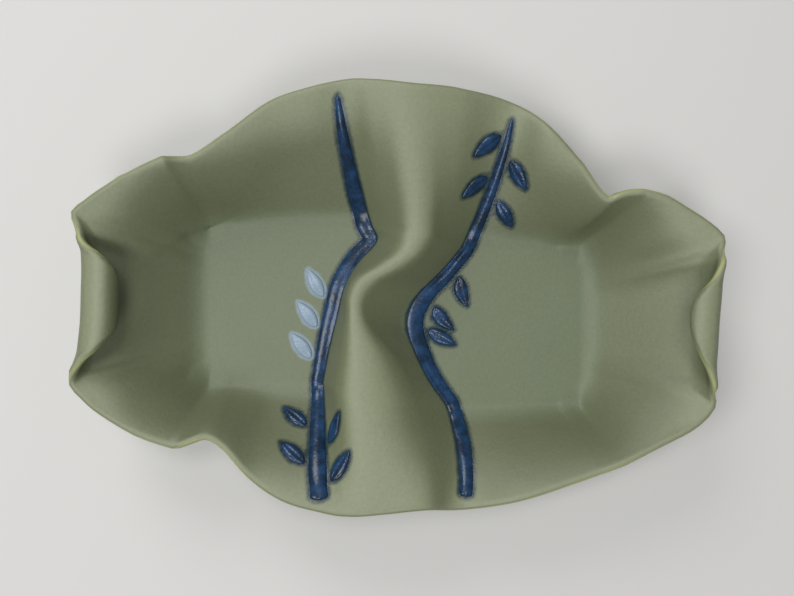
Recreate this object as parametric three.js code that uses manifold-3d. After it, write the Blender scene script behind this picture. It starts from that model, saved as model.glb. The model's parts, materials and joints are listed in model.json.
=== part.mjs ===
// Divided serving dish in stoneware: one rolled slab of clay pressed into two trays, so that a fold of the
// slab stands between two basins in an S, with both ends of the slab rolled inwards as grips.
// A tapered coil of clay lies in the crease on each side of the fold, with leaf sprigs luted on beside it.
// The dish lies along X with its back towards +Y, and stands on the undersides of the two tray floors.

import * as THREE from "three";
import { mergeVertices } from "three/addons/utils/BufferGeometryUtils.js";
import Module from "manifold-3d";

const { lerp, smoothstep, degToRad } = THREE.MathUtils;

// Driving dimensions, in millimetres and degrees

const SLAB_THICKNESS = 5;
const SEAT_GAP = 0.3; // between the slab and each piece of clay that is laid on it

// Tray floors: reach from the middle of the dish to the outer edge, depth from front to back, middle in Y
const LEFT_FLOOR_REACH = 127.6;
const RIGHT_FLOOR_REACH = 123.6;
const FLOOR_DEPTH = 101.7;
const LEFT_FLOOR_Y = -4.4;
const RIGHT_FLOOR_Y = -18.2;

// Walls, measured in plan: the curve out of the floor, and the stretch that lies back towards the rim
const FLOOR_FILLET = 11;
const RIM_FLARE_RUN = 28;
const RIM_FLARE = 0.55; // share of the slope that a side wall loses on the way to its rim

// Rolled ends: radius inside the roll, how far each roll turns, and how far its start lies in and down
// from the line between the two corners of that end
const ROLL_RADIUS = 7.6;
const LEFT_ROLL_TURN = 188;
const RIGHT_ROLL_TURN = 172;
const LEFT_ROLL_INSET = 10.6;
const RIGHT_ROLL_INSET = 8;
const ROLL_DROP = 8;

// Fold between the trays
const FOOT_RADIUS = 4;

// Coils and leaf sprigs
const COIL_RADIUS = 3.2;
const COIL_TIP_RADIUS = 1.4;
const COIL_LIFT = 0.5; // of the coil's middle above the slab
const LEAF_LENGTH = 21;
const LEAF_WIDTH = 9;
const LEAF_HEIGHT = 2;
const LEAF_GROOVE = 0.7; // depth of the midrib
const LEAF_ROOT = 1.5; // how far a sprig is pressed down before its seat is cut
const LEAF_ANGLE = 48; // between a leaf and its coil
const LEAF_STALK_GAP = 1.2; // between a leaf's stalk end and the coil

// A curve through hand-set stations [position, value, ...], smooth from one station to the next
function through(stations) {
  const curve = new THREE.CubicInterpolant(
    stations.map((s) => s[0]),
    stations.flatMap((s) => s.slice(1)),
    stations[0].length - 1,
  );
  return (position) => Array.from(curve.evaluate(position));
}

// Rim stations [place, x, y, z] on the inner edge of the rim. Along the back and front the place runs
// 0 left corner fold, 1 left crease, 2 crest of the fold, 3 right crease, 4 right corner fold.
const BACK_LEFT_FOLD = [-140.8, 83.4, 50];
const BACK_RIGHT_FOLD = [148, 62.2, 52];
const FRONT_LEFT_FOLD = [-132.8, -86.1, 51];
const FRONT_RIGHT_FOLD = [133, -94.8, 54];

const backRim = through([
  [0, ...BACK_LEFT_FOLD],
  [0.17, -123.6, 82.2, 49],
  [0.36, -101.6, 95, 51],
  [0.62, -73.8, 113.7, 54],
  [0.85, -50.5, 121.5, 55],
  [1, -35.6, 125.3, 54],
  [1.5, -15.7, 125.4, 57],
  [2, 8.5, 122.4, 60],
  [2.5, 36.5, 120.5, 56],
  [3, 67.5, 113.6, 49],
  [3.3, 89.2, 99, 51],
  [3.55, 107, 80, 50],
  [3.78, 126, 58.6, 49],
  [4, ...BACK_RIGHT_FOLD],
]);

const frontRim = through([
  [0, ...FRONT_LEFT_FOLD],
  [0.2, -114.1, -80.4, 50],
  [0.36, -101.8, -86.8, 50],
  [0.55, -85.5, -105.2, 51],
  [0.78, -66.2, -117.7, 53],
  [1, -45, -123.6, 54],
  [1.5, -27.4, -125.2, 57],
  [2, -9.9, -124, 58],
  [2.5, 16.3, -122.1, 55],
  [3, 39.7, -122.8, 50],
  [3.35, 72.2, -117.6, 51],
  [3.7, 105.5, -106, 52.5],
  [4, ...FRONT_RIGHT_FOLD],
]);

// Along an end the place runs from 0 at the front corner fold to 1 at the back one, with the corners here
const FRONT_CORNER = 0.2;
const BACK_CORNER = 0.8;
const ROLL_OPENING = 0.18; // stretch beside each corner over which the roll opens
const ROLL_TUCK = 0.1; // shorter stretch over which its start goes in and down

const leftEnd = through([
  [0, ...FRONT_LEFT_FOLD],
  [0.1, -173.5, -66.5, 53.5],
  [0.17, -185.7, -56, 54.5],
  [FRONT_CORNER, -190, -49.6, 55],
  [0.23, -189.8, -44, 55],
  [0.5, -188.5, 0, 55],
  [0.77, -188.5, 43.5, 55],
  [BACK_CORNER, -189, 49.6, 55],
  [0.83, -185.3, 54.4, 54.5],
  [0.9, -173.2, 63.4, 53.5],
  [1, ...BACK_LEFT_FOLD],
]);

const rightEnd = through([
  [0, ...FRONT_RIGHT_FOLD],
  [0.1, 155.8, -83.8, 54.3],
  [0.17, 176.5, -72.4, 54.5],
  [FRONT_CORNER, 185.2, -64.1, 55],
  [0.23, 186.2, -57.6, 55],
  [0.5, 188.5, -13.5, 55],
  [0.77, 190.8, 28.1, 55],
  [BACK_CORNER, 189.9, 36.1, 55],
  [0.83, 183.8, 43, 54.5],
  [0.9, 171, 50.7, 53.5],
  [1, ...BACK_RIGHT_FOLD],
]);

// The fold, by share of the floors' depth from front to back: x of each foot; x, z and radius of the crest
const leftFoot = through([
  [0, -52.5],
  [0.24, -47.8],
  [0.46, -42.5],
  [0.63, -38],
  [0.79, -29],
  [0.93, -19.5],
  [1, -17.5],
]);

const rightFoot = through([
  [0, 40.5],
  [0.16, 28.6],
  [0.34, 18.6],
  [0.55, 12],
  [0.67, 16],
  [0.86, 31.9],
  [1, 50],
]);

const crest = through([
  [0, -19.5, 44, 20],
  [0.33, -24, 38.5, 11],
  [0.6, -23, 36, 9],
  [0.77, -12.5, 36.5, 9],
  [0.87, 0.5, 38.5, 11],
  [1, 14, 44, 20],
]);

// Surface of the slab

// The fold's section from foot to crest at share q of its length: an arc out of the floor, a straight flank
// and an arc over the crest. Returns the distance from the foot in plan, and the height.
function flank(width, height, crestRadius, q) {
  const radii = FOOT_RADIUS + crestRadius;
  const rest = radii - height;
  const lean = Math.asin(radii / Math.hypot(width, rest)) - Math.atan2(rest, width);
  const straight = (width - radii * Math.sin(lean)) / Math.cos(lean);
  const footArc = FOOT_RADIUS * lean;
  const length = footArc + straight + crestRadius * lean;
  const s = q * length;
  if (s < footArc) {
    const turn = s / FOOT_RADIUS;
    return [FOOT_RADIUS * Math.sin(turn), FOOT_RADIUS * (1 - Math.cos(turn))];
  }
  if (s < footArc + straight) {
    const run = s - footArc;
    return [
      FOOT_RADIUS * Math.sin(lean) + run * Math.cos(lean),
      FOOT_RADIUS * (1 - Math.cos(lean)) + run * Math.sin(lean),
    ];
  }
  const turn = (length - s) / crestRadius;
  return [width - crestRadius * Math.sin(turn), height - crestRadius * (1 - Math.cos(turn))];
}

// A point of the two floors and the fold between them, at place c along the dish and share v of the depth
function trayPoint(c, v) {
  const middle = lerp(LEFT_FLOOR_Y, RIGHT_FLOOR_Y, smoothstep(c, 1, 3));
  const y = middle + (v - 0.5) * FLOOR_DEPTH;
  const [left] = leftFoot(v);
  const [right] = rightFoot(v);
  const [x, z, radius] = crest(v);
  const height = z - SLAB_THICKNESS;
  if (c <= 1) {
    return new THREE.Vector3(lerp(-LEFT_FLOOR_REACH, left, c), y, SLAB_THICKNESS);
  }
  if (c >= 3) {
    return new THREE.Vector3(lerp(right, RIGHT_FLOOR_REACH, c - 3), y, SLAB_THICKNESS);
  }
  if (c <= 2) {
    const [run, rise] = flank(x - left, height, radius, c - 1);
    return new THREE.Vector3(left + run, y, SLAB_THICKNESS + rise);
  }
  const [run, rise] = flank(right - x, height, radius, 3 - c);
  return new THREE.Vector3(right - run, y, SLAB_THICKNESS + rise);
}

// Share of a wall's height reached at share w of its run in plan
function wallRise(w, run, flare) {
  const fillet = Math.min(FLOOR_FILLET / run, 0.5);
  const flareRun = Math.min(RIM_FLARE_RUN / run, 1 - fillet);
  const climb = (t) => {
    const foot = t < fillet ? (t * t) / (2 * fillet) : t - fillet / 2;
    const back = Math.max(0, t - 1 + flareRun);
    return foot - (flare * back * back) / (2 * flareRun);
  };
  return climb(w) / climb(1);
}

// A point of the wall from a floor's edge to its rim. Over the crest of the fold the wall is a plain ramp.
function wallPoint(edge, rim, w, flare) {
  const run = Math.hypot(rim.x - edge.x, rim.y - edge.y);
  const ramp = Math.max(0, edge.z - SLAB_THICKNESS) / (rim.z - SLAB_THICKNESS);
  const rise = lerp(wallRise(w, run, flare), w, Math.min(1, ramp));
  return new THREE.Vector3(
    lerp(edge.x, rim.x, w),
    lerp(edge.y, rim.y, w),
    lerp(edge.z, rim.z, rise),
  );
}

// A point of the front or back wall, at place c along the dish and share w of the wall's run
function frontPoint(c, w) {
  return wallPoint(trayPoint(c, 0), new THREE.Vector3(...frontRim(c)), w, RIM_FLARE);
}

function backPoint(c, w) {
  return wallPoint(trayPoint(c, 1), new THREE.Vector3(...backRim(c)), w, RIM_FLARE);
}

// A point between the corner folds: r is 0 at the front rim, 1 and 2 at the front and back of the floors,
// and 3 at the back rim
function middlePoint(c, r) {
  if (r < 1) return frontPoint(c, 1 - r);
  if (r > 2) return backPoint(c, r - 2);
  return trayPoint(c, r - 1);
}

// A point of an end: v runs from the front corner fold to the back one, e from 0 at the floor to 1 at the
// rim or the start of the roll, and on to 2 at the roll's free edge
const JUST_BELOW_RIM = 0.999; // share of the wall's run at which its slope into the roll is taken
function endPoint(end, v, e) {
  const { place, rim, inset, turn } = end;
  const fromCorner = Math.max(0, Math.min(v - FRONT_CORNER, BACK_CORNER - v));
  const opened = Math.sin((Math.PI / 2) * Math.min(1, fromCorner / ROLL_OPENING));
  const tucked = Math.sin((Math.PI / 2) * Math.min(1, fromCorner / ROLL_TUCK));
  const edge = trayPoint(place, v);
  const start = new THREE.Vector3(...rim(v));
  const out = new THREE.Vector3(start.x - edge.x, start.y - edge.y, 0).normalize();
  start.addScaledVector(out, -inset * tucked);
  start.z -= ROLL_DROP * tucked;
  const flare = RIM_FLARE * (1 - tucked);
  if (e <= 1) return wallPoint(edge, start, e, flare);
  const short = wallPoint(edge, start, JUST_BELOW_RIM, flare);
  const slope = Math.atan2(start.z - short.z, Math.hypot(start.x - short.x, start.y - short.y));
  const angle = slope + degToRad(turn) * opened * (e - 1);
  start.addScaledVector(out, ROLL_RADIUS * (Math.sin(angle) - Math.sin(slope)));
  start.z += ROLL_RADIUS * (Math.cos(slope) - Math.cos(angle));
  return start;
}

const LEFT_END = { place: 0, rim: leftEnd, inset: LEFT_ROLL_INSET, turn: LEFT_ROLL_TURN };
const RIGHT_END = { place: 4, rim: rightEnd, inset: RIGHT_ROLL_INSET, turn: RIGHT_ROLL_TURN };

// Slab

// Counts of facets: along each floor, over each flank of the fold, up a wall, beside a corner fold, along
// a roll where it opens, along the rest of it, round it, and round the rim's edge
const FLOOR_STEPS = 10;
const FLANK_STEPS = 8;
const WALL_STEPS = 8;
const CORNER_STEPS = 5;
const OPENING_STEPS = 6;
const GRIP_STEPS = 4;
const ROLL_STEPS = 8;
const RIM_STEPS = 4;
const FLOOR_CROWDING = 1.4; // how much closer the facets are near a corner fold
const WALL_CROWDING = 1.3; // and near the foot of a wall

// Shares from 0 to 1, closer together near 0 when the power is over 1
function shares(count, power = 1) {
  return Array.from({ length: count + 1 }, (_, i) => (i / count) ** power);
}

// Even steps from one value to the next through a list, without the first value
function steps(...stretches) {
  return stretches.flatMap(([from, to, count]) => shares(count).slice(1).map((t) => lerp(from, to, t)));
}

// Places along the dish, shares of a wall's run, shares of the floors' depth and stations round an end,
// closer together near the corner folds, the floors' edges and the ends of the rolls
const FROM_FOLD = shares(FLOOR_STEPS, FLOOR_CROWDING);
const PLACES = [
  ...FROM_FOLD,
  ...steps([1, 2, FLANK_STEPS], [2, 3, FLANK_STEPS]),
  ...FROM_FOLD.slice(0, -1).reverse().map((t) => 4 - t),
];
const WALL_SHARES = shares(WALL_STEPS, WALL_CROWDING);
const DEPTH_SHARES = [
  0,
  ...steps(
    [0, FRONT_CORNER, CORNER_STEPS],
    [FRONT_CORNER, FRONT_CORNER + ROLL_OPENING, OPENING_STEPS],
    [FRONT_CORNER + ROLL_OPENING, BACK_CORNER - ROLL_OPENING, GRIP_STEPS],
    [BACK_CORNER - ROLL_OPENING, BACK_CORNER, OPENING_STEPS],
    [BACK_CORNER, 1, CORNER_STEPS],
  ),
];
const END_STATIONS = [...WALL_SHARES, ...steps([1, 2, ROLL_STEPS])];

// Adds the triangles of a grid of points to a list of corners, turned over if asked. Each cell of the grid
// is split along its shorter diagonal.
function addGrid(corners, first, second, point, turned) {
  const grid = first.map((a) => second.map((b) => point(a, b)));
  for (let i = 0; i < first.length - 1; i++) {
    for (let j = 0; j < second.length - 1; j++) {
      const cell = [grid[i][j], grid[i + 1][j], grid[i + 1][j + 1], grid[i][j + 1]];
      const [a, b, c, d] = turned ? cell.reverse() : cell;
      const split = a.distanceTo(c) < b.distanceTo(d) ? [a, b, c, a, c, d] : [b, c, d, b, d, a];
      corners.push(...split);
    }
  }
}

// The upper face of the slab as one welded sheet, without the triangles that close up at the ends of a roll
const WELD = 1e-3;
function slabSheet() {
  const corners = [];
  addGrid(corners, PLACES, WALL_SHARES, frontPoint, true);
  addGrid(corners, PLACES, DEPTH_SHARES, trayPoint, false);
  addGrid(corners, PLACES, WALL_SHARES, backPoint, false);
  addGrid(corners, DEPTH_SHARES, END_STATIONS, (v, e) => endPoint(LEFT_END, v, e), false);
  addGrid(corners, DEPTH_SHARES, END_STATIONS, (v, e) => endPoint(RIGHT_END, v, e), true);
  const sheet = mergeVertices(new THREE.BufferGeometry().setFromPoints(corners), WELD);
  const index = Array.from(sheet.index.array);
  const kept = [];
  for (let i = 0; i < index.length; i += 3) {
    const [a, b, c] = index.slice(i, i + 3);
    if (a !== b && b !== c && c !== a) kept.push(a, b, c);
  }
  sheet.setIndex(kept);
  sheet.computeVertexNormals();
  return sheet;
}

// Directed edges of a sheet that have a triangle on one side only, as a map from start to end
function openEdges(index) {
  const edges = new Map();
  for (let i = 0; i < index.length; i += 3) {
    for (let k = 0; k < 3; k++) {
      edges.set(`${index[i + k]} ${index[i + ((k + 1) % 3)]}`, [index[i + k], index[i + ((k + 1) % 3)]]);
    }
  }
  const open = [...edges.values()].filter(([a, b]) => !edges.has(`${b} ${a}`));
  return new Map(open);
}

// The slab as a closed solid: the sheet, its offset one thickness below, and a half-round rim between them.
// lift raises the upper face, for cutting seats.
function slabGeometry(sheet, lift) {
  const index = sheet.index.array;
  const count = sheet.attributes.position.count;
  const point = (i) => new THREE.Vector3().fromBufferAttribute(sheet.attributes.position, i);
  const normal = (i) => new THREE.Vector3().fromBufferAttribute(sheet.attributes.normal, i);
  const points = [];
  for (let i = 0; i < count; i++) points.push(point(i).addScaledVector(normal(i), lift));
  for (let i = 0; i < count; i++) points.push(point(i).addScaledVector(normal(i), -SLAB_THICKNESS));
  const faces = [];
  for (let i = 0; i < index.length; i += 3) {
    const [a, b, c] = [index[i], index[i + 1], index[i + 2]];
    faces.push(a, b, c, count + a, count + c, count + b);
  }
  const next = openEdges(index);
  const before = new Map([...next].map(([a, b]) => [b, a]));
  const radius = (SLAB_THICKNESS + lift) / 2;
  const rings = new Map();
  for (const [i, after] of next) {
    const along = point(after).sub(point(before.get(i)));
    const out = along.cross(normal(i)).normalize();
    const core = point(i).addScaledVector(normal(i), lift - radius);
    const ring = [i];
    for (let k = 1; k < RIM_STEPS; k++) {
      const angle = (Math.PI * k) / RIM_STEPS;
      const place = core.clone().addScaledVector(normal(i), radius * Math.cos(angle));
      ring.push(points.push(place.addScaledVector(out, radius * Math.sin(angle))) - 1);
    }
    ring.push(count + i);
    rings.set(i, ring);
  }
  for (const [i, after] of next) {
    const [a, b] = [rings.get(i), rings.get(after)];
    for (let k = 0; k < RIM_STEPS; k++) faces.push(a[k + 1], b[k + 1], b[k], a[k + 1], b[k], a[k]);
  }
  return new THREE.BufferGeometry().setFromPoints(points).setIndex(faces);
}

// Coils and leaf sprigs

const wasm = await Module();
wasm.setup();

function solidOf(geometry) {
  const merged = mergeVertices(geometry);
  return new wasm.Manifold(
    new wasm.Mesh({
      numProp: 3,
      vertProperties: new Float32Array(merged.attributes.position.array),
      triVerts: new Uint32Array(merged.index.array),
    }),
  );
}

function geometryOf(solid) {
  const mesh = solid.getMesh();
  return new THREE.BufferGeometry()
    .setAttribute("position", new THREE.BufferAttribute(mesh.vertProperties, 3))
    .setIndex(new THREE.BufferAttribute(mesh.triVerts, 1));
}

// A closed solid through a row of rings of points, each end closed from its middle
function loft(rings) {
  const sides = rings[0].length;
  const middle = (ring) => ring.reduce((sum, p) => sum.add(p), new THREE.Vector3()).divideScalar(sides);
  const points = [...rings.flat(), middle(rings[0]), middle(rings.at(-1))];
  const faces = [];
  for (let i = 0; i < rings.length - 1; i++) {
    for (let k = 0; k < sides; k++) {
      const [a, b] = [i * sides + k, i * sides + ((k + 1) % sides)];
      faces.push(a, b, b + sides, a, b + sides, a + sides);
    }
  }
  const last = (rings.length - 1) * sides;
  for (let k = 0; k < sides; k++) {
    const after = (k + 1) % sides;
    faces.push(points.length - 2, after, k, points.length - 1, last + k, last + after);
  }
  return new THREE.BufferGeometry().setFromPoints(points).setIndex(faces);
}

// The directions on the slab at a place: forward along the crease, up from the surface, and to the right of
// the crease, with the rates at which a point moves as its place does
const NUDGE = 1e-3;
function frameAt(c, r) {
  const alongRate = middlePoint(c + NUDGE, r).sub(middlePoint(c - NUDGE, r)).divideScalar(2 * NUDGE);
  const acrossRate = middlePoint(c, r + NUDGE).sub(middlePoint(c, r - NUDGE)).divideScalar(2 * NUDGE);
  const up = alongRate.clone().cross(acrossRate).normalize();
  const forward = acrossRate.clone().normalize();
  const right = forward.clone().cross(up);
  return { alongRate, acrossRate, up, forward, right };
}

// The place [c, r] reached from another by walking over the slab, so far forward and so far to the right
const WALK_STEPS = 4;
function walk([c, r], ahead, aside) {
  for (let i = 0; i < WALK_STEPS; i++) {
    const { alongRate, acrossRate, forward, right } = frameAt(c, r);
    const stride = aside / WALK_STEPS / alongRate.dot(right);
    const drift = stride * alongRate.dot(forward);
    c += stride;
    r += (ahead / WALK_STEPS - drift) / acrossRate.length();
  }
  return [c, r];
}

const COIL_STEPS = 44;
const COIL_SIDES = 8;
const COIL_ENDS = [0.07, 2.93]; // where a coil starts and stops, short of the front and back rims
const COIL_FULLNESS = 0.6; // under 1 the coil keeps its thickness longer towards its ends

// A coil of clay along the crease at place c, thick at the middle of the dish and tapered towards both rims
function coilGeometry(c) {
  const rings = shares(COIL_STEPS).map((share) => {
    const r = lerp(...COIL_ENDS, share);
    const { up, right } = frameAt(c, r);
    const radius = lerp(COIL_TIP_RADIUS, COIL_RADIUS, Math.sin(Math.PI * share) ** COIL_FULLNESS);
    const core = middlePoint(c, r).addScaledVector(up, COIL_LIFT);
    return shares(COIL_SIDES).slice(1).map((turn) => {
      const angle = -2 * Math.PI * turn;
      return core
        .clone()
        .addScaledVector(right, radius * Math.cos(angle))
        .addScaledVector(up, radius * Math.sin(angle));
    });
  });
  return loft(rings);
}

const LEAF_STEPS = 8;
const LEAF_TIP_SHARE = 0.08; // of the leaf's width left at each end
const LEAF_BELLY = 0.85; // under 1 the leaf is widest nearer to its stalk
const LEAF_TIP_HEIGHT = 0.5; // share of the leaf's height left at each end
const LEAF_SHOULDER = 0.45; // share of half the width where the crown stands, and of its height at the edge
const CREASE_SIDE = 0.02; // how far from the crease the surface is taken that a leaf lies on

// A leaf sprig beside the crease at place c: r is where its stalk points at the coil, side is -1 towards
// the left and 1 towards the right, and growth is 1 for a leaf that points to the back and -1 to the front
function leafGeometry({ c, r, side, growth }) {
  const ahead = growth * Math.cos(degToRad(LEAF_ANGLE));
  const aside = side * Math.sin(degToRad(LEAF_ANGLE));
  const stalk = walk([c + side * CREASE_SIDE, r], 0, side * (COIL_RADIUS + LEAF_STALK_GAP));
  const middle = walk(stalk, (ahead * LEAF_LENGTH) / 2, (aside * LEAF_LENGTH) / 2);
  const onSlab = (a, b, h) => {
    const place = walk(middle, ahead * a + aside * b, aside * a - ahead * b);
    return middlePoint(...place).addScaledVector(frameAt(...place).up, h);
  };
  const rings = shares(LEAF_STEPS).map((share) => {
    const a = (share - 0.5) * LEAF_LENGTH;
    const body = lerp(LEAF_TIP_SHARE, 1, Math.sin(Math.PI * share ** LEAF_BELLY));
    const half = (LEAF_WIDTH / 2) * body;
    const crown = LEAF_HEIGHT * lerp(LEAF_TIP_HEIGHT, 1, body);
    return [
      onSlab(a, -half, -LEAF_ROOT),
      onSlab(a, half, -LEAF_ROOT),
      onSlab(a, half, crown * LEAF_SHOULDER),
      onSlab(a, half * LEAF_SHOULDER, crown),
      onSlab(a, 0, crown - LEAF_GROOVE * body),
      onSlab(a, -half * LEAF_SHOULDER, crown),
      onSlab(a, -half, crown * LEAF_SHOULDER),
    ];
  });
  return loft(rings);
}

// Where the leaves stand along the left coil, from the front: [r, side]. The right coil has the same leaves
// half a turn round.
const COLOUR_CHANGE = 1; // the left coil's leaves past this r are pale blue
const LEAF_PLACES = [
  [0.2, 1],
  [0.34, -1],
  [0.48, 1],
  [0.62, -1],
  [1.14, -1],
  [1.34, -1],
  [1.54, -1],
];

// Assembly

const glaze = (color, roughness) => new THREE.MeshStandardMaterial({ color, roughness, metalness: 0 });
const SAGE_GLAZE = glaze(0x7d8668, 0.62);
const NAVY_GLAZE = glaze(0x173763, 0.22);
const PALE_BLUE_GLAZE = glaze(0x8fa9cf, 0.35);

const sheet = slabSheet();
const slab = slabGeometry(sheet, 0);
const seat = solidOf(slabGeometry(sheet, SEAT_GAP));

const dish = new THREE.Group();

function addPiece(name, geometry, material) {
  const mesh = new THREE.Mesh(geometry, material);
  mesh.name = name;
  dish.add(mesh);
}

// Adds a piece of clay with its underside cut to the slab it is laid on
function addLaid(name, geometry, material) {
  addPiece(name, geometryOf(solidOf(geometry).subtract(seat)), material);
}

addPiece("dish_slab", slab, SAGE_GLAZE);
addLaid("left_coil", coilGeometry(1), NAVY_GLAZE);
addLaid("right_coil", coilGeometry(3), NAVY_GLAZE);
LEAF_PLACES.forEach(([r, side], i) => {
  const material = r > COLOUR_CHANGE ? PALE_BLUE_GLAZE : NAVY_GLAZE;
  addLaid(`left_leaf_${i + 1}`, leafGeometry({ c: 1, r, side, growth: 1 }), material);
  addLaid(`right_leaf_${i + 1}`, leafGeometry({ c: 3, r: 3 - r, side: -side, growth: -1 }), NAVY_GLAZE);
});

// The origin is on the table under the middle of the dish
slab.computeBoundingBox();
const middle = slab.boundingBox.getCenter(new THREE.Vector3());
dish.position.set(-middle.x, -middle.y, -slab.boundingBox.min.z);

export default dish;
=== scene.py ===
"""Looks of a divided stoneware serving dish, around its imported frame. Runs as a script in Blender 4.5."""

import json
import math
from bisect import bisect_right
from functools import lru_cache

import bmesh
import bpy
from bpy.props import FloatProperty, FloatVectorProperty, PointerProperty
from bpy.types import Operator, Panel, PropertyGroup
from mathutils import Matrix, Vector, bvhtree, kdtree, noise

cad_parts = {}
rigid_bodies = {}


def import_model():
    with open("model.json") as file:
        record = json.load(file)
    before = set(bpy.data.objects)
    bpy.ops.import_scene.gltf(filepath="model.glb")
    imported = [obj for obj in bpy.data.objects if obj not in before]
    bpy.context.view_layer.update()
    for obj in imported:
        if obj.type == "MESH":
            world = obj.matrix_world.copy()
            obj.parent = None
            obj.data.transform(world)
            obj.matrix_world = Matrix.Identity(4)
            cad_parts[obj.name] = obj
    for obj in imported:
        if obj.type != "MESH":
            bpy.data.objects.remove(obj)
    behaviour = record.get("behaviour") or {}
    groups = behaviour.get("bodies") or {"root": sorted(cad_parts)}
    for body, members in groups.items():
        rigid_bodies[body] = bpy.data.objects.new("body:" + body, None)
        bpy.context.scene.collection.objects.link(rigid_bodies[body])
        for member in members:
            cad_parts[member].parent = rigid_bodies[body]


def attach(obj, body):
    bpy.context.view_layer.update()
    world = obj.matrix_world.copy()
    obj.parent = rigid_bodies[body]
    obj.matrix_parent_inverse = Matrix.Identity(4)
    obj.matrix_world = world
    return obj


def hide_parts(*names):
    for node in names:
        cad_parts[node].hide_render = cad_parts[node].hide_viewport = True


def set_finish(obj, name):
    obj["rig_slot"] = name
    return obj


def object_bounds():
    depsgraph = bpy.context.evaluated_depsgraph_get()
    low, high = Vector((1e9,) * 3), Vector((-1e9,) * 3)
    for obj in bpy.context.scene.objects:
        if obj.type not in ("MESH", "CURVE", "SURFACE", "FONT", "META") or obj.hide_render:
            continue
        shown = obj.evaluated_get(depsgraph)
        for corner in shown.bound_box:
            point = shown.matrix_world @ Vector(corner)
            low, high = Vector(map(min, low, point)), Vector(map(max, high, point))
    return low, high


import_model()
CAD_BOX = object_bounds()

bl_info = {
    "name": "Divided Serving Dish",
    "version": (1, 0, 0),
    "blender": (4, 5, 0),
    "location": "3D View > Sidebar > Dish",
    "description": "Makes a slab-built serving dish with two basins, its trails and leaf sprigs, and a stage",
    "category": "Add Mesh",
}

MM = 0.001

# Where the drawing's origin lies in the frame, in metres
DRAWING_ORIGIN = Vector((-0.929, -0.533, 0)) * MM


# Sizes and colours that a user would change


def length(name, description, millimetres):
    return FloatProperty(
        name=name, description=description, default=millimetres * MM, unit="LENGTH", precision=5
    )


def angle(name, description, degrees):
    return FloatProperty(
        name=name, description=description, default=math.radians(degrees), subtype="ANGLE"
    )


def share(name, description, value):
    return FloatProperty(name=name, description=description, default=value, min=0, max=4)


def colour(name, description, *value):
    return FloatVectorProperty(
        name=name, description=description, default=value, subtype="COLOR", size=3, min=0, max=1
    )


class DishSlabSizes(PropertyGroup):
    """The slab: tray floors, walls, fold and rolled ends"""

    thickness: length("Thickness", "Thickness of the fired slab", 5)
    left_reach: length("Left Reach", "From the drawing's origin to the left floor's outer edge", 124.5)
    right_reach: length("Right Reach", "From the drawing's origin to the right floor's outer edge", 121)
    floor_depth: length("Floor Depth", "Floors from front to back", 101.7)
    left_middle: length("Left Middle", "Middle of the left floor in Y", -4.4)
    right_middle: length("Right Middle", "Middle of the right floor in Y", -18.2)
    fillet: length("Fillet", "Run of the curve from a floor into its wall", 14)
    flare_run: length("Flare Run", "Run over which a wall lies back towards its rim", 28)
    flare: share("Flare", "Share of its slope that a wall loses towards its rim", 0.68)
    foot_radius: length("Foot Radius", "Radius at the foot of the fold", 4)
    sink: share("Sink", "Share of a roll's height by which its start lies below the rim", 0.75)
    lip: length("Lip", "Strip along an end's rim that bends where the roll has hardly turned", 6)
    ripple: length("Ripple", "Height of the unevenness left by hand work", 0.25)
    pleat: length("Pleat", "Height of the pinched pleat at the back left corner", 7)


class DishReliefSizes(PropertyGroup):
    """The trails in the creases and the leaf sprigs beside them"""

    trail_rise: share("Trail Rise", "Height of a trail as a share of half its width", 0.42)
    trail_top: length("Trail Top", "Greatest height of a trail", 2.1)
    leaf_length: length("Leaf Length", "Leaf from stalk to tip", 21)
    leaf_width: length("Leaf Width", "Leaf at its widest", 9)
    leaf_height: length("Leaf Height", "Height of a leaf's crown", 2)
    leaf_angle: angle("Leaf Angle", "Between a leaf and its trail", 48)
    stalk_gap: length("Stalk Gap", "From the edge of a trail to a leaf's stalk", 1.2)
    midrib: length("Midrib", "Depth of a leaf's midrib", 0.7)
    vein: length("Vein", "Depth of a leaf's side veins", 0.22)
    root: length("Root", "How deep the relief is set into the slab", 0.8)


class DishGlazeColours(PropertyGroup):
    """Glaze colours, in linear light"""

    sage: colour("Sage", "Green glaze at its usual thickness", 0.16, 0.179, 0.102)
    # Painted sheen: a lighter green painted on high, upward-facing parts, standing in for light from above.
    sage_painted_sheen: colour("Sage Raised", "Green glaze where it lies thin on raised parts", 0.238, 0.262, 0.16)
    sage_pooled: colour("Sage Pooled", "Green glaze where it lies thick on the floors", 0.152, 0.184, 0.109)
    sage_thin: colour("Sage Thin", "Green glaze where it breaks thin on the rim", 0.38, 0.40, 0.165)
    navy: colour("Navy", "Blue glaze where it lies thick", 0.004, 0.02, 0.05)
    navy_edge: colour("Navy Edge", "Blue glaze where it feathers into the green", 0.011, 0.032, 0.042)
    cobalt: colour("Cobalt", "Blue glaze at its usual thickness", 0.012, 0.055, 0.145)
    pale_blue: colour("Pale Blue", "Pale blue glaze", 0.26, 0.35, 0.44)
    clay: colour("Clay", "Bare fired clay under the floors", 0.42, 0.33, 0.23)
    iron: colour("Iron", "Iron specks in the clay", 0.05, 0.045, 0.03)


class DishStageSettings(PropertyGroup):
    """Floor, light and camera"""

    floor: colour("Floor", "Colour of the floor", 0.67, 0.665, 0.65)
    camera_height: length("Camera Height", "Camera above the floor", 430)
    focal_length: FloatProperty(
        name="Focal Length", description="In millimetres on a 36 mm frame", default=29
    )
    lamp_distance: length("Lamp Distance", "From the middle of the dish to each lamp", 2000)
    light: share("Light", "Level of all lamps together", 1)
    surroundings: share("Surroundings", "Level of the even light from all round", 0.22)


# Curves through given stations, in millimetres


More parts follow.
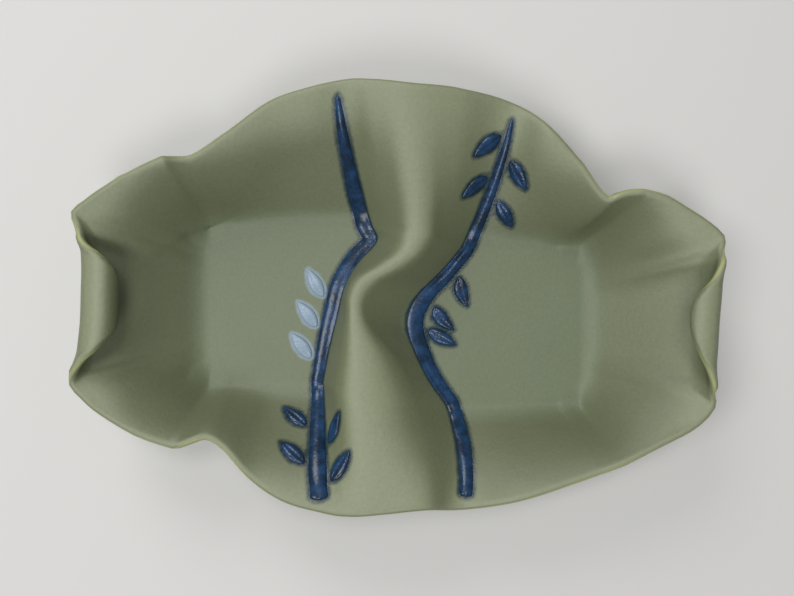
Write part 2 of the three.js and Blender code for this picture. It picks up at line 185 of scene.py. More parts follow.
def through(stations, unit=MM):
    """A smooth curve through stations (position, value, ...), as a function of the position."""
    places = [s[0] for s in stations]
    values = [[x * unit for x in s[1:]] for s in stations]
    chords = [
        [(b - a) / (q - p) for a, b in zip(low, high)]
        for p, q, low, high in zip(places, places[1:], values, values[1:])
    ]
    inner = [[(a + b) / 2 for a, b in zip(low, high)] for low, high in zip(chords, chords[1:])]
    slopes = [chords[0], *inner, chords[-1]]

    @lru_cache(maxsize=None)
    def at(place):
        place = min(max(place, places[0]), places[-1])
        i = min(bisect_right(places, place), len(places) - 1) - 1
        run = places[i + 1] - places[i]
        t = (place - places[i]) / run
        return [
            (2 * t**3 - 3 * t**2 + 1) * a
            + (3 * t**2 - 2 * t**3) * b
            + (t**3 - 2 * t**2 + t) * run * p
            + (t**3 - t**2) * run * q
            for a, b, p, q in zip(values[i], values[i + 1], slopes[i], slopes[i + 1])
        ]

    return at


# Rim stations (place, x, y, z). Along the back and front the place runs 0 left corner fold, 1 left crease,
# 2 crest of the fold, 3 right crease, 4 right corner fold.
BACK_LEFT_FOLD = (-140.8, 83.4, 50)
BACK_RIGHT_FOLD = (147.7, 60.8, 52)
FRONT_LEFT_FOLD = (-132.8, -86.1, 51)
FRONT_RIGHT_FOLD = (133, -94.8, 54)

back_rim = through([
    (0, *BACK_LEFT_FOLD),
    (0.17, -123.6, 82.2, 49),
    (0.36, -101.6, 95, 51),
    (0.62, -73.8, 113.7, 54),
    (0.85, -50.5, 121.5, 55),
    (1, -35.6, 125.3, 54),
    (1.5, -15.7, 125.4, 57),
    (2, 8.5, 122.4, 60),
    (2.5, 36.5, 120.8, 55.5),
    (3, 70.8, 114.6, 44.5),
    (3.3, 89.8, 98.8, 51),
    (3.55, 107, 80, 50),
    (3.78, 125.6, 57.1, 49),
    (3.9, 137.3, 60.2, 51),
    (4, *BACK_RIGHT_FOLD),
])

front_rim = through([
    (0, *FRONT_LEFT_FOLD),
    (0.2, -114.1, -80.4, 50),
    (0.36, -101.8, -86.8, 50),
    (0.55, -85.5, -105.2, 51),
    (0.78, -66.2, -117.7, 53),
    (1, -45, -123.6, 54),
    (1.5, -27.4, -125.2, 57),
    (2, -9.9, -124, 58),
    (2.5, 16.3, -121.8, 56),
    (3, 40.4, -124.8, 45),
    (3.35, 72.2, -117.6, 51),
    (3.7, 105.5, -106, 52.5),
    (4, *FRONT_RIGHT_FOLD),
])

# Along an end the place runs from 0 at the front corner fold to 1 at the back one, with the corners here
FRONT_CORNER = 0.2
BACK_CORNER = 0.8
ROLL_OPENING = 0.2  # stretch beside each corner over which the roll opens
LIP_GROWS = (0.05, 0.15)  # stretch from either corner fold over which the bending strip grows
FLARE_FADES = (0.16, 0.4)  # stretch over which an end's wall loses its flare

left_end_rim = through([
    (0, *FRONT_LEFT_FOLD),
    (0.05, -154, -78.4, 52.2),
    (0.1, -173.5, -66.5, 53.5),
    (0.17, -185, -56.2, 54.5),
    (FRONT_CORNER, -189.6, -50.6, 55),
    (0.23, -186.9, -45.4, 55),
    (0.27, -184.6, -38.6, 55),
    (0.36, -182.3, -24.1, 55),
    (0.42, -181.3, -14, 55),
    (0.5, -180.8, -0.6, 55),
    (0.65, -180.6, 24, 55),
    (0.73, -182.5, 37, 55),
    (0.77, -186, 44.6, 55),
    (BACK_CORNER, -188.8, 50, 55),
    (0.83, -183.6, 54.4, 54.5),
    (0.9, -172.8, 62.8, 53.5),
    (1, *BACK_LEFT_FOLD),
])

right_end_rim = through([
    (0, *FRONT_RIGHT_FOLD),
    (0.1, 155.8, -83.8, 54.3),
    (0.17, 177.2, -72, 54.5),
    (FRONT_CORNER, 184.2, -63.6, 55),
    (0.24, 182.1, -56.4, 55),
    (0.33, 181.5, -42, 55),
    (0.41, 182.4, -28.7, 55),
    (0.5, 183.3, -14.3, 55),
    (0.59, 184.6, 0.8, 55),
    (0.7, 186.1, 18.4, 55),
    (0.76, 188.1, 28.4, 55),
    (BACK_CORNER, 190, 35.4, 55),
    (0.83, 183.8, 41.4, 54.5),
    (0.9, 170.7, 50.5, 53.5),
    (0.95, 158.9, 57.7, 53),
    (1, *BACK_RIGHT_FOLD),
])

# The fold, by share of the floors' depth from front to back: x of each foot; x and z of the crest, and its
# radius on the left and on the right
left_foot = through([
    (0, -52.5),
    (0.24, -47.8),
    (0.46, -42.5),
    (0.63, -38),
    (0.79, -28.6),
    (0.93, -17),
    (1, -20.5),
])

right_foot = through([
    (0, 36),
    (0.16, 24.4),
    (0.34, 15.8),
    (0.54, 11.4),
    (0.68, 18),
    (0.86, 34.6),
    (1, 46.6),
])

crest = through([
    (0, -21.4, 42, 20, 48),
    (0.3, -23.4, 38, 12, 28),
    (0.5, -26, 36, 6, 9),
    (0.62, -25.5, 35.5, 6, 8),
    (0.72, -19.5, 36, 7, 13),
    (0.8, -5.5, 36.5, 9, 14),
    (0.88, 6.5, 37, 11, 11),
    (1, 12.5, 39, 14, 14),
])

# Radius at the foot of the fold's right flank
right_foot_radius = through([
    (0, 4),
    (0.35, 5),
    (0.5, 12),
    (0.62, 12),
    (0.8, 4),
    (1, 4),
])

# How far the creases swing to the right half way up the walls, by place along the dish
back_swing = through([
    (0, 0),
    (1, -2.4),
    (2, 0),
    (3, 3),
    (4, 0),
])

front_swing = through([
    (0, 0),
    (2, 0),
    (3, 4.2),
    (4, 0),
])

# Bends of each rolled end, from its wall to its free edge: (radius, most degrees)
LEFT_BENDS = ((5.5, 108), (14, 22), (3.5, 360))
RIGHT_BENDS = ((16, 30), (5.8, 360))

# How far each end is rolled, in degrees, from its front corner to its back one
left_roll = through([
    (FRONT_CORNER, 0),
    (0.215, 25),
    (0.232, 62),
    (0.255, 96),
    (0.28, 112),
    (0.305, 126),
    (0.335, 150),
    (0.362, 178),
    (0.4, 226),
    (0.44, 247),
    (0.53, 247),
    (0.58, 232),
    (0.62, 200),
    (0.65, 158),
    (0.671, 132),
    (0.693, 110),
    (0.715, 78),
    (0.745, 36),
    (0.775, 10),
    (BACK_CORNER, 0),
], math.radians(1))

right_roll = through([
    (FRONT_CORNER, 0),
    (0.22, 10),
    (0.245, 35),
    (0.27, 64),
    (0.297, 88),
    (0.345, 118),
    (0.4, 152),
    (0.46, 176),
    (0.535, 188),
    (0.585, 177),
    (0.615, 152),
    (0.65, 122),
    (0.685, 97),
    (0.712, 72),
    (0.738, 43),
    (0.765, 15),
    (0.783, 4),
    (BACK_CORNER, 0),
], math.radians(1))

# Half the width of each trail by place r, which runs 0 front rim, 1 and 2 front and back of the floors,
# 3 back rim
left_trail_half = through([
    (0.06, 5.2),
    (0.3, 5.5),
    (0.6, 4.9),
    (1, 4.3),
    (1.35, 5.1),
    (1.7, 5.4),
    (1.95, 5.2),
    (2.2, 4.9),
    (2.5, 3.8),
    (2.75, 2.8),
    (2.93, 1.2),
])

right_trail_half = through([
    (0.08, 3.8),
    (0.3, 4.2),
    (0.7, 4.6),
    (1, 4.4),
    (1.3, 5),
    (1.6, 5.4),
    (1.85, 4.6),
    (2.1, 4.2),
    (2.4, 3.4),
    (2.7, 2.4),
    (2.92, 1),
])


def lerp(a, b, t):
    return a + (b - a) * t


def smoothstep(low, high, value):
    t = min(max((value - low) / (high - low), 0), 1)
    return t * t * (3 - 2 * t)


def quarter_sine(value, stretch):
    """0 to 1 along a quarter of a sine, over a stretch."""
    return math.sin(math.pi / 2 * min(1, value / stretch))


# Surface of the slab


class Slab:
    """The upper face of the slab. Places are c along the dish and r or v across it."""

    JUST_BELOW_RIM = 0.999
    LEAST_TURN = 1e-4
    NUDGE = 1e-3
    WALK_STEPS = 4

    def __init__(self, sizes):
        self.sizes = sizes
        self.left_end = (0, left_end_rim, LEFT_BENDS, left_roll)
        self.right_end = (4, right_end_rim, RIGHT_BENDS, right_roll)
        self.tray_point = lru_cache(maxsize=None)(self.tray_point)

    def flank(self, width, height, foot_radius, crest_radius, q):
        """Distance from the fold's foot and height, at share q of the section from foot to crest."""
        radii = foot_radius + crest_radius
        rest = radii - height
        lean = math.asin(radii / math.hypot(width, rest)) - math.atan2(rest, width)
        straight = (width - radii * math.sin(lean)) / math.cos(lean)
        foot_arc = foot_radius * lean
        whole = foot_arc + straight + crest_radius * lean
        s = q * whole
        if s < foot_arc:
            turn = s / foot_radius
            return foot_radius * math.sin(turn), foot_radius * (1 - math.cos(turn))
        if s < foot_arc + straight:
            run = s - foot_arc
            return (
                foot_radius * math.sin(lean) + run * math.cos(lean),
                foot_radius * (1 - math.cos(lean)) + run * math.sin(lean),
            )
        turn = (whole - s) / crest_radius
        return width - crest_radius * math.sin(turn), height - crest_radius * (1 - math.cos(turn))

    def tray_point(self, c, v):
        """A point of the two floors and the fold between them."""
        s = self.sizes
        middle = lerp(s.left_middle, s.right_middle, smoothstep(1, 3, c))
        y = middle + (v - 0.5) * s.floor_depth
        (left,) = left_foot(v)
        (right,) = right_foot(v)
        x, z, left_radius, right_radius = crest(v)
        height = z - s.thickness
        if c <= 1:
            return Vector((lerp(-s.left_reach, left, c), y, s.thickness))
        if c >= 3:
            return Vector((lerp(right, s.right_reach, c - 3), y, s.thickness))
        if c <= 2:
            run, rise = self.flank(x - left, height, s.foot_radius, left_radius, c - 1)
            return Vector((left + run, y, s.thickness + rise))
        run, rise = self.flank(right - x, height, *right_foot_radius(v), right_radius, 3 - c)
        return Vector((right - run, y, s.thickness + rise))

    def wall_rise(self, w, run, flare):
        """Share of a wall's height reached at share w of its run."""
        fillet = min(self.sizes.fillet / run, 0.5)
        flare_run = min(self.sizes.flare_run / run, 1 - fillet)

        def climb(t):
            foot = t * t / (2 * fillet) if t < fillet else t - fillet / 2
            return foot - flare * max(0, t - 1 + flare_run) ** 2 / (2 * flare_run)

        return climb(w) / climb(1)

    def wall_point(self, edge, rim, w, flare, swing=0):
        """A point of the wall from a floor's edge to its rim; a plain ramp over the crest of the fold."""
        thickness = self.sizes.thickness
        run = math.hypot(rim.x - edge.x, rim.y - edge.y)
        ramp = max(0, edge.z - thickness) / (rim.z - thickness)
        rise = lerp(self.wall_rise(w, run, flare), w, min(1, ramp))
        x = lerp(edge.x, rim.x, w) + swing * 4 * w * (1 - w)
        return Vector((x, lerp(edge.y, rim.y, w), lerp(edge.z, rim.z, rise)))

    def middle_point(self, c, r):
        """A point between the corner folds.

        r is 0 at the front rim, 1 and 2 at the floors' edges, 3 at the back rim.
        """
        if r < 1:
            edge = self.tray_point(c, 0)
            return self.wall_point(edge, Vector(front_rim(c)), 1 - r, self.sizes.flare, *front_swing(c))
        if r > 2:
            edge = self.tray_point(c, 1)
            return self.wall_point(edge, Vector(back_rim(c)), r - 2, self.sizes.flare, *back_swing(c))
        return self.tray_point(c, r - 1)

    def roll(self, bends, slope, turned):
        """How far a slab rolled over from a slope goes outwards and up, and the length that is bent."""
        run = rise = bent = 0
        for radius, most in bends:
            part = min(turned, math.radians(most))
            run += radius * MM * (math.sin(slope + part) - math.sin(slope))
            rise += radius * MM * (math.cos(slope) - math.cos(slope + part))
            bent += radius * MM * part
            slope += part
            turned -= part
        return run, rise, bent

    def slope_at_rim(self, edge, rim, flare):
        """Slope of a wall just below its rim."""
        short = self.wall_point(edge, rim, self.JUST_BELOW_RIM, flare)
        return math.atan2(rim.z - short.z, math.hypot(rim.x - short.x, rim.y - short.y))

    def end_point(self, end, v, e):
        """A point of an end.

        e is 0 at the floor, 1 at the rim or the start of the roll, 2 at the roll's free edge.
        """
        place, rim, bends, turn = end
        s = self.sizes
        edge = self.tray_point(place, v)
        start = Vector(rim(v))
        lip = smoothstep(*LIP_GROWS, min(v, 1 - v))
        if not lip:
            return self.wall_point(edge, start, min(e, 1), s.flare)
        turned = max(self.LEAST_TURN, *turn(v))
        flare = s.flare * (1 - smoothstep(*FLARE_FADES, min(v, 1 - v)))
        slope = self.slope_at_rim(edge, start, flare)
        bulge, _, _ = self.roll(bends, slope, min(turned, math.pi / 2 - slope))
        _, crown, _ = self.roll(bends, slope, min(turned, math.pi - slope))
        _, _, bent = self.roll(bends, slope, turned)
        stretched = math.hypot(lip * s.lip, bent) / bent
        out = Vector((start.x - edge.x, start.y - edge.y, 0)).normalized()
        start -= out * stretched * bulge
        start.z -= lerp(1, s.sink, min(1, turned)) * stretched * crown
        if e <= 1:
            return self.wall_point(edge, start, e, flare)
        run, rise, _ = self.roll(bends, self.slope_at_rim(edge, start, flare), turned * (e - 1))
        start += out * stretched * run
        start.z += stretched * rise
        return start

    def directions(self, c, r):
        """Rates of a point as c and r grow, then the directions up, forward and to the right."""
        n = self.NUDGE
        along = (self.middle_point(c + n, r) - self.middle_point(c - n, r)) / (2 * n)
        across = (self.middle_point(c, r + n) - self.middle_point(c, r - n)) / (2 * n)
        up = along.cross(across).normalized()
        forward = across.normalized()
        return along, across, up, forward, forward.cross(up)

    def walk(self, c, r, ahead, aside):
        """The place reached by walking over the slab, so far forward and so far to the right."""
        for _ in range(self.WALK_STEPS):
            along, across, _, forward, right = self.directions(c, r)
            stride = aside / self.WALK_STEPS / along.dot(right)
            drift = stride * along.dot(forward)
            c += stride
            r += (ahead / self.WALK_STEPS - drift) / across.length
        return c, r

    def raised(self, c, r, height):
        """A point at a height above a place."""
        return self.middle_point(c, r) + self.directions(c, r)[2] * height


# Mesh work


def stretch(start, end, count, crowding=1):
    """Even steps from start to end, closer together near the start when the crowding is over 1."""
    return [lerp(start, end, (i / count) ** crowding) for i in range(count + 1)]


def joined(*stretches):
    """Stretches one after the other, with each shared value once."""
    values = list(stretches[0])
    for more in stretches[1:]:
        values += more[1:]
    return values


def add_grid(bm, first, second, point):
    """Adds a grid whose vertices are moved to point(a, b) for each a of first and b of second."""
    made = bmesh.ops.create_grid(bm, x_segments=len(first) - 1, y_segments=len(second) - 1, size=1)["verts"]
    for k, vert in enumerate(made):
        vert.co = point(first[k % len(first)], second[k // len(first)])


def finished_piece(name, bm, body="root"):
    """Makes an object of a bmesh in the frame, smooth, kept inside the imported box, riding on a body."""
    bmesh.ops.translate(bm, verts=bm.verts, vec=DRAWING_ORIGIN)
    low, high = CAD_BOX
    for vert in bm.verts:
        vert.co = [min(max(value, least), most) for value, least, most in zip(vert.co, low, high)]
    mesh = bpy.data.meshes.new(name)
    bm.to_mesh(mesh)
    bm.free()
    mesh.shade_smooth()
    piece = bpy.data.objects.new(name, mesh)
    bpy.context.scene.collection.objects.link(piece)
    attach(piece, body)
    return piece


def store(piece, name, values):
    """Stores one number for each vertex of a piece, for its material."""
    attribute = piece.data.attributes.new(name, "FLOAT", "POINT")
    attribute.data.foreach_set("value", values)


# Slab piece

# Steps of its mesh
FLOOR_STEPS = 52
FLANK_STEPS = 26
WALL_STEPS = 32
CORNER_STEPS = 12
OPENING_STEPS = 16
GRIP_STEPS = 14
ROLL_STEPS = 20
RIM_STEPS = 6
CROWDING = 1.4  # over 1 the steps are closer at the corner folds
WELD = 2e-6  # points closer than this become one
RIPPLES_PER_METRE = 28
STAIN_SEARCH = 12 * MM  # how far from the relief the slab is stained at most
SHEEN_HEIGHT = (20 * MM, 40 * MM)  # heights between which the painted sheen grows
SHEEN_FACING = (0.73, 0.97)  # and how far upwards the slab faces there, where the painted sheen stands in for light from above
FOLD_ROUNDS = 30  # rounds of smoothing along the corner folds
FOLD_REACH = 14 * MM  # how far from a corner fold it is smoothed
FOLD_POINTS = 60  # points that stand for a fold's line
PLEAT_GENTLE = 14 * MM  # run of the pleat's side towards the end
PLEAT_STEEP = 9 * MM  # run of its other side
PLEAT_ROUND = 2.5 * MM  # how far its crest is rounded
PLEAT_DIRECTION = Vector((0.45, -0.45, 0.77))  # square to the slab in that corner


def slab_sheet(slab):
    """The upper face of the slab, as a bmesh."""
    bm = bmesh.new()
    from_fold = stretch(0, 1, FLOOR_STEPS, CROWDING)
    to_fold = [4 - t for t in reversed(from_fold)]
    places = joined(from_fold, stretch(1, 2, FLANK_STEPS), stretch(2, 3, FLANK_STEPS), to_fold)
    depth = joined(
        stretch(0, FRONT_CORNER, CORNER_STEPS),
        stretch(FRONT_CORNER, FRONT_CORNER + ROLL_OPENING, OPENING_STEPS),
        stretch(FRONT_CORNER + ROLL_OPENING, BACK_CORNER - ROLL_OPENING, GRIP_STEPS),
        stretch(BACK_CORNER - ROLL_OPENING, BACK_CORNER, OPENING_STEPS),
        stretch(BACK_CORNER, 1, CORNER_STEPS),
    )
    wall = stretch(0, 1, WALL_STEPS)
    rows = joined([1 - w for w in reversed(wall)], [1 + v for v in depth], [2 + w for w in wall])
    ends = joined(wall, stretch(1, 2, ROLL_STEPS))
    add_grid(bm, places, rows, slab.middle_point)
    add_grid(bm, depth, ends, lambda v, e: slab.end_point(slab.left_end, v, e))
    add_grid(bm, ends, depth, lambda e, v: slab.end_point(slab.right_end, v, e))
    bmesh.ops.remove_doubles(bm, verts=bm.verts, dist=WELD)
    return bm


def soften_folds(bm, slab):
    """Rounds the corner folds, and pinches a pleat along the one at the back left."""
    soft = []
    for c, rim, foot in ((0, 0, 1), (4, 0, 1), (4, 3, 2), (0, 3, 2)):
        soft += [slab.middle_point(c, r) for r in stretch(rim, foot, FOLD_POINTS)]
    to_fold = tree_of(soft)
    near = [vert for vert in bm.verts if not vert.is_boundary and to_fold.find(vert.co)[2] < FOLD_REACH]
    for _ in range(FOLD_ROUNDS):
        bmesh.ops.smooth_vert(bm, verts=near, factor=0.5, use_axis_x=True, use_axis_y=True, use_axis_z=True)
    line = [slab.middle_point(0, r) for r in stretch(3, 2, FOLD_POINTS)]
    to_pleat = tree_of(line)
    aside = (line[0] - line[-1]).cross(Vector((0, 0, 1))).normalized()
    for vert in bm.verts:
        place, i, distance = to_pleat.find(vert.co)
        width = PLEAT_STEEP if (vert.co - place).dot(aside) > 0 else PLEAT_GENTLE
        climbed = 1 - i / FOLD_POINTS
        fall = math.hypot(distance, PLEAT_ROUND) - PLEAT_ROUND
        vert.co += PLEAT_DIRECTION * slab.sizes.pleat * math.exp(-fall / width) * climbed ** 0.5


def tree_of(points):
    """A search tree of points."""
    tree = kdtree.KDTree(len(points))
    for i, point in enumerate(points):
        tree.insert(point, i)
    tree.balance()
    return tree


class DISH_OT_slab(Operator):
    """Make the slab with its trays, fold and rolled ends"""

    bl_idname = "dish.slab"
    bl_label = "Slab"

    def execute(self, context):
        sizes = context.scene.dish_slab
        slab = Slab(sizes)
        bm = slab_sheet(slab)
        soften_folds(bm, slab)
        bm.normal_update()
        for vert in bm.verts:
            vert.co += vert.normal * sizes.ripple * noise.noise(vert.co * RIPPLES_PER_METRE)
        bm.normal_update()
        upper = list(bm.verts)
        normals = {vert: vert.normal.copy() for vert in upper}
        edge = [e for e in bm.edges if e.is_boundary]
        copied = bmesh.ops.duplicate(bm, geom=[*bm.verts, *bm.edges, *bm.faces])
        for vert in upper:
            copied["vert_map"][vert].co -= normals[vert] * sizes.thickness
        lower_faces = [g for g in copied["geom"] if isinstance(g, bmesh.types.BMFace)]
        bmesh.ops.reverse_faces(bm, faces=lower_faces)
        rim = round_rim(bm, edge, normals, sizes.thickness)
        bmesh.ops.remove_doubles(bm, verts=bm.verts, dist=WELD)
        to_rim = tree_of(rim)
        from_rim = [to_rim.find(vert.co)[2] for vert in bm.verts]
        piece = finished_piece("slab", bm)
        store(piece, "from_rim", from_rim)
        # Mask of high, upward-facing parts for the painted sheen, which stands in for light from above.
        store(piece, "raised", [
            smoothstep(*SHEEN_HEIGHT, vert.co.z) * smoothstep(*SHEEN_FACING, vert.normal.z)
            for vert in piece.data.vertices
        ])
        for name, slot in (("from_navy", "navy_glaze"), ("from_pale", "pale_blue_glaze")):
            store(piece, name, distances(piece, slot))
        piece.data.materials.append(sage_glaze(context.scene.dish_glazes))
        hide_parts("dish_slab")
        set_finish(piece, "sage_glaze")
        return {"FINISHED"}


def round_rim(bm, edges, normals, thickness):
    """Closes the slab's edge by a half round between its faces; gives points along its middle."""
    radius = thickness / 2
    ring = {vert: vert for e in edges for vert in e.verts}
    outward = {}
    for vert in ring:
        ends = [e.other_vert(vert) for e in vert.link_edges if e.is_boundary]
        face = next(f for e in vert.link_edges if e.is_boundary for f in e.link_faces)
        out = (ends[0].co - ends[1].co).cross(normals[vert]).normalized()
        inward = face.calc_center_median() - vert.co
        outward[vert] = -out if out.dot(inward) > 0 else out
    for k in range(1, RIM_STEPS + 1):
        turn = math.pi * k / RIM_STEPS
        made = bmesh.ops.extrude_edge_only(bm, edges=edges)["geom"]
        after = {}
        for vert in (g for g in made if isinstance(g, bmesh.types.BMVert)):
            base = next(ring[o] for o in (e.other_vert(vert) for e in vert.link_edges) if o in ring)
            core = base.co - normals[base] * radius
            vert.co = core + (normals[base] * math.cos(turn) + outward[base] * math.sin(turn)) * radius
            after[vert] = base
        edges = [g for g in made if isinstance(g, bmesh.types.BMEdge) and all(v in after for v in g.verts)]
        ring = after
        if 2 * k == RIM_STEPS:
            middle = [vert.co.copy() for vert in ring]
    return middle


def distances(piece, slot):
    """How far each vertex of a piece lies from the nearest piece of relief in a glaze."""
    far = 1.0
    nearest = [far] * len(piece.data.vertices)
    for other in bpy.context.scene.objects:
        if other.get("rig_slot") != slot:
            continue
        tree = bvhtree.BVHTree.FromObject(other, bpy.context.evaluated_depsgraph_get())
        for i, vert in enumerate(piece.data.vertices):
            found = tree.find_nearest(vert.co, STAIN_SEARCH)
            if found[0] is not None:
                nearest[i] = min(nearest[i], found[3])
    return nearest


# Trails

TRAIL_STEPS = 240
TRAIL_SIDES = 20
TRAIL_TIP = 0.03  # run in r over which a trail's end is rounded
TRAIL_WOBBLE = 0.07  # share by which its width varies
WOBBLES_PER_R = 9
TRAIL_FULLNESS = 1.3  # over 1 its height reaches the greatest one sooner
TRAIL_POINT = 1.3  # over 1 its section is more pointed than a half ellipse


def trail_bmesh(slab, relief, c, half_at, ends, seed):
    """A trail of clay along the crease at place c, closed, with its foot set into the slab."""
    bm = bmesh.new()
    around = stretch(0, 2 * math.pi, TRAIL_SIDES)
    rows = stretch(*ends, TRAIL_STEPS)

    def point(turn, r):
        tip = quarter_sine(min(r - ends[0], ends[1] - r), TRAIL_TIP)
        wobble = 1 + TRAIL_WOBBLE * noise.noise((r * WOBBLES_PER_R, seed, 0))
        half = half_at(r)[0] * math.sqrt(tip) * wobble
        height = min(relief.trail_top, half * relief.trail_rise * TRAIL_FULLNESS)
        aside = -half * math.cos(turn)
        rise = math.sin(turn)
        lift = height * rise**TRAIL_POINT if rise > 0 else relief.root * rise
        place = slab.walk(c, r, 0, aside)
        return slab.raised(*place, lift)

    add_grid(bm, rows, around, lambda r, turn: point(turn, r))
    bmesh.ops.remove_doubles(bm, verts=bm.verts, dist=WELD)
    bmesh.ops.recalc_face_normals(bm, faces=bm.faces)
    return bm


class DISH_OT_trails(Operator):
    """Lay a tapered trail in the crease on each side of the fold"""

    bl_idname = "dish.trails"
    bl_label = "Trails"

    def execute(self, context):
        slab = Slab(context.scene.dish_slab)
        relief = context.scene.dish_relief
        material = navy_glaze(context.scene.dish_glazes)
        for side, c, half_at, ends, seed in (
            ("left", 1, left_trail_half, (0.06, 2.93), 1),
            ("right", 3, right_trail_half, (0.08, 2.92), 7),
        ):
            piece = finished_piece(f"{side}_trail", trail_bmesh(slab, relief, c, half_at, ends, seed))
            piece.data.materials.append(material)
            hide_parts(f"{side}_coil")
            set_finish(piece, "navy_glaze")
        return {"FINISHED"}


# Leaf sprigs

# Where the leaves stand along the left trail, from the front: (r, side). The right trail has the same leaves
# half a turn round.
LEAF_PLACES = ((0.2, 1), (0.34, -1), (0.48, 1), (0.62, -1), (1.14, -1), (1.34, -1), (1.54, -1))
COLOUR_CHANGE = 1  # the left trail's leaves past this r are pale blue
CREASE_SIDE = 0.02  # how far from the crease the surface is taken that a leaf lies on
LEAF_STEPS = 36
LEAF_SIDES = 28
LEAF_BELLY = 0.85  # under 1 the leaf is widest nearer to its stalk
LEAF_FULLNESS = 0.8  # under 1 its outline and section are fuller than a sine
MIDRIB_WIDTH = 0.8 * MM
VEIN_SPACING = 2.6 * MM
VEIN_LEAN = 0.9  # how far a side vein runs towards the tip as it goes outwards
VEIN_SHARPNESS = 8


def leaf_bmesh(slab, relief, c, half_at, r, side, growth):
    """A leaf sprig beside the crease, closed, with its foot set into the slab."""
    bm = bmesh.new()
    ahead = growth * math.cos(relief.leaf_angle)
    aside = side * math.sin(relief.leaf_angle)
    stalk = slab.walk(c + side * CREASE_SIDE, r, 0, side * (half_at(r)[0] + relief.stalk_gap))
    middle = slab.walk(*stalk, ahead * relief.leaf_length / 2, aside * relief.leaf_length / 2)

    def point(along, turn):
        a = (along - 0.5) * relief.leaf_length
        body = max(0, math.sin(math.pi * along**LEAF_BELLY)) ** LEAF_FULLNESS
        half = relief.leaf_width / 2 * body
        b = -half * math.cos(turn)
        rise = math.sin(turn)
        lift = relief.root * rise
        if rise > 0:
            rib = math.exp(-((b / MIDRIB_WIDTH) ** 2))
            lift = relief.leaf_height * body**0.5 * rise**LEAF_FULLNESS - relief.midrib * rib * body
            veins = math.cos(math.pi * (a - abs(b) * VEIN_LEAN) / VEIN_SPACING) ** VEIN_SHARPNESS
            lift -= relief.vein * veins * rise
        place = slab.walk(*middle, ahead * a + aside * b, aside * a - ahead * b)
        return slab.raised(*place, lift)

    add_grid(bm, stretch(0, 1, LEAF_STEPS), stretch(0, 2 * math.pi, LEAF_SIDES), point)
    bmesh.ops.remove_doubles(bm, verts=bm.verts, dist=WELD)
    bmesh.ops.recalc_face_normals(bm, faces=bm.faces)
    return bm


class DISH_OT_leaves(Operator):
    """Set the leaf sprigs beside the trails"""

    bl_idname = "dish.leaves"
    bl_label = "Leaf Sprigs"

    def execute(self, context):
        slab = Slab(context.scene.dish_slab)
        relief = context.scene.dish_relief
        colours = context.scene.dish_glazes
        glazes = {"navy_glaze": navy_glaze(colours), "pale_blue_glaze": pale_blue_glaze(colours)}
        for i, (r, side) in enumerate(LEAF_PLACES, start=1):
            is_pale = r > COLOUR_CHANGE
            for name, c, half_at, at, to_side, growth, slot in (
                ("left", 1, left_trail_half, r, side, 1, "pale_blue_glaze" if is_pale else "navy_glaze"),
                ("right", 3, right_trail_half, 3 - r, -side, -1, "navy_glaze"),
            ):
                leaf = leaf_bmesh(slab, relief, c, half_at, at, to_side, growth)
                piece = finished_piece(f"{name}_sprig_{i}", leaf)
                piece.data.materials.append(glazes[slot])
                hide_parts(f"{name}_leaf_{i}")
                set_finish(piece, slot)
        return {"FINISHED"}


# Glazes

# Heights, and distances from the rim or the relief, between which one finish gives way to another
POOLED_BELOW = (16 * MM, 5 * MM)
THIN_ALONG_RIM = (2.4 * MM, 0.8 * MM)
NAVY_FEATHERS = (4.2 * MM, 1 * MM)
PALE_FEATHERS = (3.4 * MM, 1.4 * MM)
BARE_BELOW = (2.2 * MM, 1.4 * MM)
FEATHER_WANDER = 1.6 * MM
GRAIN_HEIGHT = 0.18 * MM
RUN_HEIGHT = 0.2 * MM


class Value:
    """A number that a node gives, for use in Python expressions."""

    def __init__(self, glaze, socket):
        self.glaze = glaze
        self.socket = socket

    def _math(self, operation, first, second):
        return self.glaze.node("ShaderNodeMath", {"operation": operation}, {0: first, 1: second})

    def __add__(self, other):
        return self._math("ADD", self, other)

    def __radd__(self, other):
        return self._math("ADD", other, self)

    def __sub__(self, other):
        return self._math("SUBTRACT", self, other)

    def __rsub__(self, other):
        return self._math("SUBTRACT", other, self)

    def __mul__(self, other):
        return self._math("MULTIPLY", self, other)

    def __rmul__(self, other):
        return self._math("MULTIPLY", other, self)


